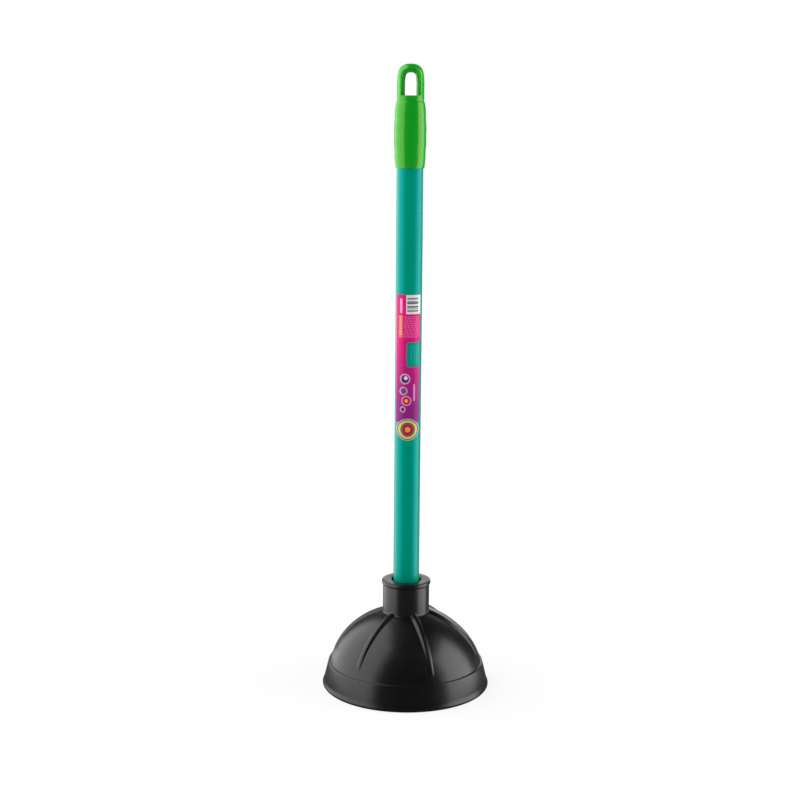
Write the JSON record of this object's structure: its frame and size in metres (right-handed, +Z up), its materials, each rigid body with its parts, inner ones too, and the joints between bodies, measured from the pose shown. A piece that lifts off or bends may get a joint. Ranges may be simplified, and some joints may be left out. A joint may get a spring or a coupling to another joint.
{
  "type": "toilet plunger",
  "caption": "Rubber cup plunger with a ribbed bell, a flared rim and a screwed-in plastic-sheathed handle that ends in a slotted hang grip.",
  "frame": {"origin": "centre of the cup's rim, on the floor that it stands on", "axes": "+Z up along the handle, -Y to the front, where the label and the open side of the hanging slot face"},
  "size_m": [0.1429, 0.143, 0.5257],
  "materials": {
    "black_rubber": "satin moulded",
    "tip_plastic": "moulded",
    "tube_steel": "plain cold-rolled",
    "teal_sheath": "smooth extruded",
    "green_grip": "smooth moulded",
    "label_film": "printed film"
  },
  "bodies": {
    "cup": {"rubber_cup": "black_rubber"},
    "collar": {"cup_collar": "black_rubber"},
    "tip": {"threaded_tip": "tip_plastic"},
    "handle": {"core_tube": "tube_steel", "tube_sheath": "teal_sheath", "hang_grip": "green_grip", "label": "label_film"}
  },
  "joints": [
    {"name": "cup_plunge", "type": "slide", "parent": "cup", "child": "collar", "axis": [0, 0, 1], "range_m": [-0.035, 0], "stiffness_N_per_m": 2000, "springref_m": 0.0025, "deforming": ["rubber_cup"]},
    {"name": "handle_rise", "type": "slide", "parent": "collar", "child": "tip", "axis": [0, 0, 1], "range_m": [0, 0.032]},
    {"name": "handle_turn", "type": "hinge", "parent": "tip", "child": "handle", "pos_m": [0, 0, 0.09], "axis": [0, 0, 1], "range_deg": [0, 2880]}
  ],
  "couplings": [
    {"joint": "handle_rise", "follows": "handle_turn", "m_per_rad": 0.0006366}
  ]
}
